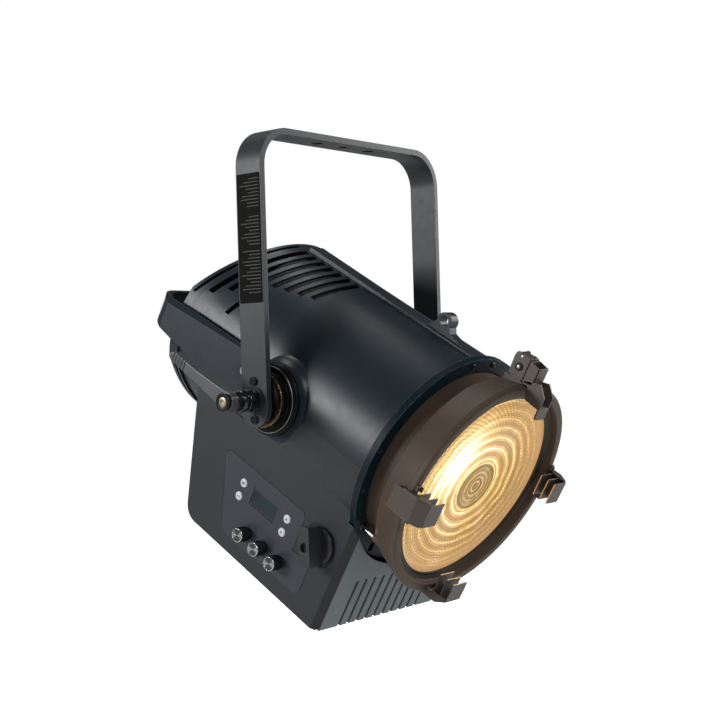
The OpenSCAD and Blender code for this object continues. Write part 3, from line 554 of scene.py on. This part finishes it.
def refined(node, bevel, material, segments=2):
    """A copy of a CAD node's mesh with clean flat faces and rounded edges."""
    form = Form(Matrix.Identity(4))
    mesh = form.mesh
    mesh.from_mesh(NODES[node].data)
    bmesh.ops.remove_doubles(mesh, verts=mesh.verts, dist=0.002 * MM)
    bmesh.ops.dissolve_limit(mesh, angle_limit=math.radians(0.4), verts=mesh.verts, edges=mesh.edges)
    return form.make(node + "_shaped", material, bevel, segments, sharp=30)


def face_outline(low, high, inset=0.0):
    """The (y, z) corners of a box's side, drawn in by an inset."""
    y0, y1 = low.y + inset, high.y - inset
    z0, z1 = low.z + inset, high.z - inset
    return [(y0, z0), (y1, z0), (y1, z1), (y0, z1)]


def round_lens(radius, degrees, y):
    """A point of the head on a circle round the lens axis: 0 degrees is the top, 90 the +X side."""
    angle = math.radians(degrees)
    return (radius * math.sin(angle), y, LENS_CENTRE.z + radius * math.cos(angle))


def lathe_both_sides(form, profile):
    """Turns a profile of (radius, distance from the middle) about the tilt axis, on both sides."""
    for side in (-1, 1):
        form.lathe([(radius, side * out) for radius, out in profile], (0, 0, 0), "x", 96)


# ---------------------------------------------------------------- yoke and tilt lock


def make_yoke():
    """The bracket with rounded edges, and the rating label with its lines of small print."""
    place(refined("yoke_bracket", 0.8, YOKE_PAINT), "yoke", "body_paint", "yoke_bracket")
    low, high = node_box("rating_label", YOKE)
    sheet = Form(YOKE)
    sheet.prism(soften(face_outline(low, high), 1.5), "x", low.x + 0.05, high.x)
    place(sheet.make("label_sheet", LABEL), "yoke", "label_film", "rating_label")
    rows, blank_rows = 34, (9, 10, 20)
    line_pitch, line_height, margin, top_margin = 3.4, 0.9, 2, 6
    start = low.y + margin
    lines = Form(YOKE)
    for row in range(rows):
        if row in blank_rows:
            continue
        z = high.z - top_margin - line_pitch * row
        reach = (0.5 + 0.42 * math.sin(2.3 * row) ** 2) * (high.y - low.y - 2 * margin)
        lines.block((low.x, low.x + 0.2), (start, start + reach), (z, z + line_height))
    place(lines.make("label_lines", LABEL_INK), "yoke", "label_film")


def pan_screw(form, centre, radius, height, out):
    """A domed screw head along X with a round socket. out is -1 for a head that faces -X."""
    dome = [(1, 0), (1, 0.35), (0.86, 0.8), (0.6, 1), (0.42, 1)]
    socket = [(0.40, 0.45), (0, 0.4)]
    profile = [(a * radius, out * b * height) for a, b in [(0, 0)] + dome + socket]
    form.lathe(profile, centre, "x", 24)


def make_plate_screws():
    """Two domed screws on the tilt plate of each arm."""
    radius, height, offset = 4.3, 2.3, 19
    out = node_box("plate_screws", YOKE)[1].x
    heads = Form(YOKE)
    for side in (-1, 1):
        for z in (-offset, offset):
            pan_screw(heads, (side * (out - height), 0, z), radius, height, side)
    place(heads.make("plate_screw_heads", DARK_SCREW, 0.25), "yoke", "screw_steel")


def make_lock():
    """The tilt lock on the -X side: a stepped hub on its stem, the lever, and the screw in its end."""
    low, high = node_box("lock_hub", YOKE)
    bore, stem = 6.1, 7.95
    length = low.x - high.x
    at = (high.x, 0, 0)
    steps = [(bore, 0), (9.4, 0), (9.6, -3), (11.2, -5.5), (11.3, -12), (10.9, -12.4), (10.9, -13.2),
             (11.3, -13.6), (11.3, -16.6), (10.4, -19.5), (10.0, -20), (10.0, -21), (10.3, -21.4),
             (10.2, -28.2), (bore, -28.2)]
    hub = Form(YOKE)
    hub.lathe(soften(steps, 0.5), at, "x", 64)
    hub.lathe(soften([(0, -28), (stem, -28), (stem, length), (0, length)], 0.3, closed=False), at, "x", 48)
    place(hub.make("lock_hub_body", HUB), "tilt_lock", "hub_black", "lock_hub")
    place(refined("lock_lever", 1.1, LEVER, 3), "tilt_lock", "lever_metal", "lock_lever")
    at = (node_box("lock_screw", YOKE)[0].x, 0, 0)
    washer = [(0, 1.0), (6.6, 1.0), (6.6, 0.4), (9.3, 0.4), (9.3, 1.9), (8.2, 2.2), (8.2, 3), (0, 3)]
    ring = Form(YOKE)
    ring.lathe(soften(washer, 0.25, closed=False), at, "x", 48)
    place(ring.make("lock_end_ring", DARK_SCREW), "tilt_lock", "screw_steel", "lock_screw")
    head = Form(YOKE)
    head.lathe([(0, 1.4), (5.2, 1.4), (5.2, 0.5), (4.3, 0.05), (2.6, 0), (2.3, 0.9), (0, 1.0)], at, "x", 32)
    place(head.make("lock_end_screw", DULL_BRASS, 0.2), "tilt_lock", "screw_steel")


# ---------------------------------------------------------------- lens carriage


def make_ring():
    """The accessory ring: a rim that steps in to the lens, and a sleeve behind it on each lower rod."""
    low, high = node_box("accessory_ring")
    lens_low, lens_high = node_box("fresnel_lens")
    front, rear, r = low.y, -157.0, high.x
    bore, seat, lip = 103.2, 105.8, 110.5
    glass_front, glass_back = lens_low.y - 1.5, lens_high.y + 0.1
    rim = [(bore, rear), (108.8, rear), (111, rear - 1.6), (r - 0.6, front + 7.2), (r, front + 6.6),
           (r, front + 0.9), (r - 0.9, front), (lip + 0.8, front), (lip, front + 0.8),
           (lip - 0.8, glass_front), (seat, glass_front), (seat, glass_back), (bore, glass_back)]
    ring = Form()
    ring.lathe(soften(rim, 0.5), (0, 0, LENS_CENTRE.z), "y", 192)
    rod_circle, rod_angle = 109.3, 128.5
    sleeve = [(3.1, -155.5), (4.9, -155.5), (4.9, -167.9), (3.1, -167.9)]
    for side in (-1, 1):
        ring.lathe(soften(sleeve, 0.5), round_lens(rod_circle, side * rod_angle, 0), "y", 32)
    place(ring.make("accessory_ring_body", RING_PAINT), "lens_carriage", "ring_paint", "accessory_ring")


def make_lens():
    """A glass disc whose front is cut into sloping prism rings round a domed centre."""
    low, high = node_box("fresnel_lens")
    front, back = low.y, high.y
    dome, pitch, last_ring = 8.0, 3.5, 97
    profile = [(0, front)]
    profile += [(dome * k / 6, front + 1.4 * (k / 6) ** 2) for k in range(1, 7)]
    r = dome
    while r < last_ring:
        depth = 0.8 + 0.9 * r / 100
        profile += [(r + 0.25, front + 0.15), (r + 0.5 * pitch, front + 0.15 + 0.42 * depth),
                    (r + pitch - 0.05, front + depth)]
        r += pitch
    profile += [(101.5, front + 2.2), (105, front + 2.6), (105.3, front + 3), (105.3, back), (0, back)]
    disc = Form()
    disc.lathe(profile, (0, 0, LENS_CENTRE.z), "y", 160)
    place(disc.make("fresnel_disc", LENS, sharp=20), "lens_carriage", "lens_glass", "fresnel_lens")


def clip_space(angle):
    """The head's space turned about the lens axis, so that a clip's outer side faces -Z."""
    return HEAD @ Matrix.Translation((0, 0, LENS_CENTRE.z)) @ Matrix.Rotation(math.radians(angle), 4, "Y")


def make_clip(node, angle):
    """A folded sheet clip at the ring's rim: an outer plate that slants in to the front wall, two walls behind it,
    cut edges towards the lens in bright gold as painted glow from the lit lens, feet under the plate and small
    hooks beside it."""
    space = clip_space(angle)
    low, high = node_box(node, space)
    out, tip, front = low.z + 1.8, high.z, low.y
    half, rear, bend = 12.0, -176, -204
    clip = Form(space)
    clip.prism([(rear, out), (bend, out), (front + 1.8, out + 6.5), (front + 1.2, tip - 9),
                (front + 1.9, tip), (front + 0.4, tip), (front, tip - 9), (front + 0.3, out + 5.9),
                (bend - 0.8, out - 1.8), (rear, out - 1.8)], "x", -half, half)
    for y, wall_foot in ((-199, out - 1.0), (-208, out + 1.5)):
        clip.block((-half, half), (y, y + 1.4), (wall_foot, tip))
    for side in (-1, 1):
        foot = sorted((side * (half - 3.5), side * (half - 1.5)))
        clip.prism([(-178, out - 0.5), (-198.5, out - 0.5), (-198.5, out + 9), (-194.3, out + 9),
                    (-194.3, out + 2.9), (-189, out + 2.9), (-178, out + 5.8)], "x", *foot)
        web = sorted((side * half, side * (half + 1.4)))
        clip.prism([(-186, out - 1.2), (bend, out - 1.2), (front + 2.5, out + 5), (front + 4, out + 9),
                    (-200, out + 8), (-194.2, out + 3.4), (-190, out + 2.9)], "x", *web)
    place(clip.make(node + "_sheet", CLIP_PAINT, 0.3, sharp=20), "lens_carriage", "clip_paint", node)
    # The walls' cut edges towards the lens, in bright gold: painted glow from the lit lens.
    edges = Form(space)
    for y in (-198.9, -207.9, front + 0.5):
        edges.block((-half + 0.5, half - 0.5), (y, y + 1.2), (tip - 0.1, tip + 0.25))
    place(edges.make(node + "_lens_glow_edges", LENS_GLOW_EDGE, 0.1), "lens_carriage", "clip_paint")
    hooks = Form(space)
    for side in (-1, 1):
        x = sorted((side * (half + 3), side * (half + 8)))
        hooks.block(x, (-196.5, -194.0), (-118, -112.5))
        hooks.block(x, (-199.5, -196.3), (-114, -112.5))
    place(hooks.make(node + "_tabs", CLIP_PAINT, 0.4), "lens_carriage", "clip_paint")


def make_latch():
    """The hinged top latch: rear cheeks on the pin, an open box in front of them, and a claw whose front
    plate hooks down over the frame."""
    low, high = node_box("top_latch")
    half, front, top, tip = high.x, low.y, high.z, low.z
    inner, edge = half - 1.4, half - 0.3
    face = -199.0
    cheek = [(-169, 124.5), (-168, 143.5), (-169.2, top - 1.2), (-171, top), (-173.6, top),
             (-174.4, top - 4.2), (-178.6, top - 4.4), (-179.4, top - 0.8), (-183.2, top - 1.4),
             (-185.8, 145.6), (-186.2, 124)]
    box_side = [(-187.2, 123.8), (-187.2, 145.6), (face + 1, 143.6), (face + 1, 125.4)]
    claw = [(-188.5, 122.8), (-188.5, 126), (face, 129.5), (-207, 131.6), (front + 0.2, 121.5),
            (front + 0.2, tip + 1.6), (front + 2.2, tip + 1.2), (-214.8, 108.6), (-198, 110), (-195.6, 117),
            (-194.8, 122.8)]
    latch = Form()
    for side in (-1, 1):
        skin = sorted((side * (half - 1.5), side * half))
        latch.prism(cheek, "x", *skin)
        latch.prism(box_side, "x", *skin)
        latch.prism(soften(claw, 0.5, 2), "x", *skin)
    latch.block((-half + 2.2, half), (face, face + 1.6), (125.2, 143.6))
    latch.block((-inner, inner), (-188.4, -187), (123.8, 146))
    latch.block((-inner, inner), (-204, -188), (124, 125.6))
    latch.block((-inner, inner), (-186, -170), (top - 2.6, top - 1.1))
    prong = [(110.5, -edge), (110.5, edge), (tip + 1.2, edge), (tip, half - 1.5), (tip, -half + 1.5),
             (tip + 1.2, -edge)]
    latch.prism(soften(prong, 0.4, 2), "y", front, front + 1.8)
    latch.block((-inner, inner), (front + 1.6, -203), (109.8, 111.2))
    place(latch.make("latch_sheet", CLIP_PAINT, 0.3), "latch", "clip_paint", "top_latch")


def make_latch_pin():
    """The hinge pin: a dark flanged head at each end round a small domed tip, made light as a painted highlight.
    """
    low, high = node_box("latch_pin")
    inner = node_box("top_latch")[1].x - 1.6
    at = (0, (low.y + high.y) / 2, (low.z + high.z) / 2)
    flange = [(1.7, 1.5), (4.0, 1.5), (4.0, 0.7), (3.5, 0.35), (1.7, 0.35)]
    tip = [(0, 0), (1.1, 0.12), (1.9, 0.5), (1.9, 1.3), (0, 1.3)]
    body, glints = Form(), Form()
    body.lathe([(0, -inner), (2.5, -inner), (2.5, inner), (0, inner)], at, "x", 32)
    for side, end in ((-1, low.x), (1, high.x)):
        body.lathe([(r, end - side * depth) for r, depth in flange], at, "x", 32)
        glints.lathe([(r, end - side * depth) for r, depth in tip], at, "x", 32)
    place(body.make("latch_pin_body", DARK_SCREW), "lens_carriage", "screw_steel", "latch_pin")
    # The light tips are a painted highlight on the pin's ends.
    place(glints.make("latch_pin_glints", PIN_GLINT), "lens_carriage", "screw_steel")


# ---------------------------------------------------------------- controls


def make_dial(index):
    """An encoder knob: a fluted black grip, a spun metal face and a bright rim round it."""
    node = f"encoder_knob_{index}"
    low, high = node_box(node)
    centre = joint_place(f"dial_turn_{index}")
    at = (low.x, centre.y, centre.z)
    r = (high.z - low.z) / 2
    rear, flute, spindle = 13.0, 0.45, 3
    grip = [(0, 0.4), (r - 1.2, 0.4), (r - 0.4, 0.8), (r, 1.6, flute), (r, 11.2, flute), (r - 0.5, 12.0),
            (r - 0.9, 12.4), (r - 1.1, 12.2), (0, 12.2)]
    body = Form()
    body.lathe([(radius, rear - out, *groove) for radius, out, *groove in grip], at, "x", 96)
    end = high.x - low.x
    body.lathe([(0, rear - 0.5), (spindle, rear - 0.5), (spindle, end), (0, end)], at, "x", 24)
    place(body.make(f"dial_{index}_grip", KNOB), f"dial_{index}", "knob_black", node)
    face = Form()
    face.lathe([(0, 0.35), (r - 1.5, 0.35), (r - 1.5, 1.0), (0, 1.0)], at, "x", 64)
    made = face.make(f"dial_{index}_face", dial_material(f"dial_{index}_spun", at))
    place(made, f"dial_{index}", "knob_black")
    rim = Form()
    rim.lathe([(r - 1.5, 0.4), (r - 1.3, 0.0), (r - 0.95, 0.0), (r - 0.6, 0.5), (r - 0.8, 1.0),
               (r - 1.5, 1.0)], at, "x", 64)
    place(rim.make(f"dial_{index}_rim", RIM), f"dial_{index}", "knob_black")


def make_button(index, icon):
    """A round push button with a softly domed cap and a small generic mark."""
    node = f"button_{index}"
    low, high = node_box(node)
    y, z = (low.y + high.y) / 2, (low.z + high.z) / 2
    r = 4.7
    cap = Form()
    cap.lathe([(0, 0), (r - 1.4, 0.12), (r - 0.5, 0.4), (r, 1.0), (r, 3.0), (r + 0.45, 3.0), (r + 0.45, 3.7),
               (0, 3.7)], (low.x, y, z), "x", 48)
    place(cap.make(f"{node}_cap", BUTTON), f"push_button_{index}", "button_grey", node)
    mark = Form()
    mark.prism([(y + dy, z + dz) for dy, dz in icon], "x", low.x - 0.03, low.x + 0.5)
    place(mark.make(f"{node}_mark", MARK), f"push_button_{index}", "button_grey")


def make_display():
    """The display's glass pane in a thin black bezel."""
    low, high = node_box("display_window")
    border = 2.0
    y0, y1, z0, z1 = low.y, high.y, low.z, high.z
    bezel = Form()
    for z in ((z0, z0 + border), (z1 - border, z1)):
        bezel.block((low.x, high.x), (y0, y1), z)
    for y in ((y0, y0 + border), (y1 - border, y1)):
        bezel.block((low.x, high.x), y, (z0 + border, z1 - border))
    place(bezel.make("display_bezel", KNOB, 0.15), "head", "display_glass")
    glass = Form()
    glass.prism(soften(face_outline(low, high, border), 0.6), "x", low.x + 0.45, high.x)
    place(glass.make("display_pane", SCREEN, 0.1), "head", "display_glass", "display_window")


def make_zoom_knob():
    """The zoom knob: a disc with an upright grip bar across it, and a near-black ring on the floor of the recess
    behind, painted shade in the recess.
    """
    low, high = node_box("zoom_knob")
    centre = joint_place("zoom_knob_turn")
    at = (0, centre.y, centre.z)
    face, r = high.x - 4.8, 19.5
    rounded = [(0, face), (15.8, face), (18.6, face + 0.5), (r, face + 1.8), (r, high.x), (0, high.x)]
    disc = Form()
    disc.lathe(soften(rounded, 0.6, closed=False), at, "x", 96)
    place(disc.make("zoom_disc", GRIP), "zoom_control", "grip_knob")
    end = [(-7, -19.2), (-3, -20.3), (3, -20.3), (7, -19.2)]
    outline = soften(end + [(-y, -z) for y, z in end], 1.5, 3)
    upright = Matrix.Translation(at) @ Matrix.Rotation(-TILT, 4, "X")
    bar = Form()
    bar.prism(outline, "x", low.x, face + 0.6, upright)
    made = bar.make("zoom_bar", GRIP, 0.7, 3)
    hole, bottom = 4.8, low.x + 4
    cutter = Form()
    cutter.lathe([(0, low.x - 1), (hole, low.x - 1), (hole, bottom), (0, bottom)], at, "x", 40)
    cut(made, cutter.make("hole", KNOB))
    place(made, "zoom_control", "grip_knob", "zoom_knob")
    floor, inner, outer = -99.0, 19.9, 22.1
    # A near-black ring on the recess floor: painted shade in the recess.
    recess_shade = Form()
    recess_shade.lathe([(inner, floor), (outer, floor), (outer, floor + 0.4), (inner, floor + 0.4)], at, "x", 96)
    place(recess_shade.make("zoom_recess_shade", TRIM_AND_SHADE), "head", "shell_paint")


def make_bosses():
    """Each tilt boss: a painted foot that flares onto the barrel, a black stepped disc and a thin light ring at
    its chamfer, a painted highlight.
    """
    end = node_box("side_bosses")[1].x
    hole, bore = 6.2, 30
    foot = Form()
    lathe_both_sides(foot, [(bore, 104), (45, 104), (44.6, 105.2), (42, 108), (39.5, 111), (38.1, 114),
                            (37.6, 117), (37.5, 119), (bore, 119)])
    place(foot.make("boss_feet", PAINT, sharp=40), "head", "boss_black", "side_bosses")
    disc = Form()
    lathe_both_sides(disc, [(hole, 118.9), (37.3, 118.9), (37.4, 121), (36.9, 122.4), (36.0, 123.2),
                            (33.9, 125.4), (33.2, 126), (28.6, 126.2), (28.4, 126.6), (28.4, end),
                            (hole, end)])
    place(disc.make("boss_discs", BOSS, 0.15), "head", "boss_black")
    # A thin light metal ring at the disc's chamfer: a painted highlight.
    line = Form()
    lathe_both_sides(line, [(33.3, 125.6), (33.9, 125.6), (33.7, 126.05), (33.2, 126.2)])
    place(line.make("boss_lines", BOSS_LINE_HIGHLIGHT), "head", "boss_black")


def make_housing():
    """Dark trim on the box's front corners, a near-black liner behind the louvres as painted shade in the slots,
    and the rear handle.
    """
    low, high = node_box("front_panel")
    half = -0.2 - node_box("control_panel")[0].x
    front = low.y
    strip = [(half + 0.1, front + 6.9), (half - 6.9, front - 0.1), (half - 7.3, front + 0.6),
             (half - 0.6, front + 7.3)]
    trim = Form()
    for side in (-1, 1):
        trim.prism([(side * x, y) for x, y in strip], "z", low.z + 1.5, high.z - 2.5)
    place(trim.make("corner_trim", TRIM_AND_SHADE, 0.1), "head", "shell_paint")
    inner, outer = 103.5, 104.5
    # A near-black sheet behind the louvres: painted shade inside the slots.
    shade_liner = Form()
    shade_liner.lathe([(inner, 26), (outer, 26), (outer, 114), (inner, 114)], (0, 0, LENS_CENTRE.z), "y", 96)
    place(shade_liner.make("louvre_shade_liner", TRIM_AND_SHADE), "head", "shell_paint")
    place(refined("rear_handle", 1.2, PAINT, 3), "head", "shell_paint", "rear_handle")


def make_flange_screws():
    """The domed screws round the front flange."""
    front = node_box("flange_screws")[0].y
    screw_circle = 112
    dome = [(0, 1.5), (2.9, 1.5), (2.9, 0.8), (2.3, 0.15), (1.4, 0), (1.25, 0.8), (0, 0.85)]
    heads = Form()
    for degrees in (-10, 7, -79, 79, -101, 101, -121, 121, 180):
        heads.lathe(dome, round_lens(screw_circle, degrees, front), "y", 24)
    place(heads.make("flange_screw_heads", DARK_SCREW), "head", "screw_steel", "flange_screws")


make_yoke()
make_plate_screws()
make_lock()
make_ring()
make_lens()
for clip_node, clip_angle in (("clip_bottom", 0), ("clip_left", 90), ("clip_right", -90)):
    make_clip(clip_node, clip_angle)
make_latch()
make_latch_pin()
for dial_index in (1, 2, 3):
    make_dial(dial_index)
TRIANGLE = [(-1.6, -1.3), (1.6, -1.3), (0, 1.7)]
# A square, a dash and a triangle each way up, as (y, z) from the button's centre.
BUTTON_MARKS = [
    [(-1.5, -1.5), (1.5, -1.5), (1.5, 1.5), (-1.5, 1.5)],
    [(-1.8, -0.6), (1.8, -0.6), (1.8, 0.6), (-1.8, 0.6)],
    TRIANGLE,
    [(-y, -z) for y, z in TRIANGLE],
]
for button_index, button_mark in enumerate(BUTTON_MARKS, 1):
    make_button(button_index, button_mark)
make_display()
make_zoom_knob()
make_bosses()
make_housing()
make_flange_screws()


# ---------------------------------------------------------------- stage, lights and camera


def area_light(name, spot, size, power):
    """A rectangular softbox that faces the tilt pivot. size is its width and height in metres."""
    data = bpy.data.lights.new(name, "AREA")
    data.shape = "RECTANGLE"
    data.size, data.size_y = size
    data.energy = power
    lamp = bpy.data.objects.new(name, data)
    bpy.context.scene.collection.objects.link(lamp)
    lamp.location = spot
    lamp.rotation_euler = (PIVOT - Vector(spot)).to_track_quat("-Z", "Y").to_euler()


def make_floor():
    """A pale floor just under the part. It looks white from the camera and lights the part only a little."""
    bpy.ops.mesh.primitive_plane_add(size=12, location=(0, 0, cad_box[0].z - 0.25))
    floor = bpy.context.object
    floor.name = "studio_floor"
    s = Shader("studio_floor")
    s.link(s.mix(s.noise(400), (0.80, 0.80, 0.79, 1), (0.84, 0.84, 0.83, 1)), s.surface.inputs["Base Color"])
    s.surface.inputs["Roughness"].default_value = 0.9
    s.surface.inputs["Emission Color"].default_value = (1, 1, 1, 1)
    seen = s.node("LightPath").outputs["Is Camera Ray"]
    s.link(s.remap(seen, 0, 1, 0.04, 1.0), s.surface.inputs["Emission Strength"])
    floor.data.materials.append(s.material)


def make_surroundings():
    """A white background for the camera and a dim, slightly blue one for everything else."""
    world = bpy.data.worlds.new("studio")
    bpy.context.scene.world = world
    world.use_nodes = True
    tree = world.node_tree
    backdrop = tree.nodes.new("ShaderNodeBackground")
    backdrop.inputs["Color"].default_value = (1, 1, 1, 1)
    path = tree.nodes.new("ShaderNodeLightPath")
    either = tree.nodes.new("ShaderNodeMixShader")
    ambient = tree.nodes["Background"]
    ambient.inputs["Color"].default_value = (0.9, 0.95, 1.0, 1)
    ambient.inputs["Strength"].default_value = 0.10
    tree.links.new(path.outputs["Is Camera Ray"], either.inputs[0])
    tree.links.new(ambient.outputs[0], either.inputs[1])
    tree.links.new(backdrop.outputs[0], either.inputs[2])
    tree.links.new(either.outputs[0], tree.nodes["World Output"].inputs["Surface"])


def make_lights():
    """Softboxes at five sides, each with its place and size in metres and its power in watts."""
    area_light("side_softbox", (-1.80, 1.15, 0.42), (0.9, 0.6), 36)
    area_light("front_softbox", (-0.7, -1.9, 0.9), (0.8, 0.6), 16)
    area_light("top_softbox", (0.2, 0.5, 1.5), (0.8, 0.8), 8)
    area_light("right_softbox", (1.7, -0.9, 0.3), (0.6, 1.2), 27)
    area_light("rear_softbox", (0.9, 2.0, 0.3), (1.0, 0.9), 12)


def make_camera():
    """The camera where the photo was taken from, by its place, bearing, pitch, roll and focal length."""
    data = bpy.data.cameras.new("camera")
    data.sensor_width = 36
    data.lens = 64.75
    data.clip_start = 0.05
    camera = bpy.data.objects.new("camera", data)
    bpy.context.scene.collection.objects.link(camera)
    azimuth, pitch, roll = (math.radians(a) for a in (-49.885, -0.133, -1.664))
    level = math.cos(pitch)
    ahead = Vector((math.sin(-azimuth) * level, math.cos(azimuth) * level, math.sin(pitch)))
    right = ahead.cross(Vector((0, 0, 1))).normalized()
    facing = Matrix((right, right.cross(ahead), -ahead)).transposed().to_4x4()
    spot = Matrix.Translation((-1.05443, -0.90391, -0.23131))
    camera.matrix_world = spot @ facing @ Matrix.Rotation(roll, 4, "Z")
    bpy.context.scene.camera = camera


make_floor()
make_surroundings()
make_lights()
make_camera()
bpy.context.scene.view_settings.view_transform = "Standard"
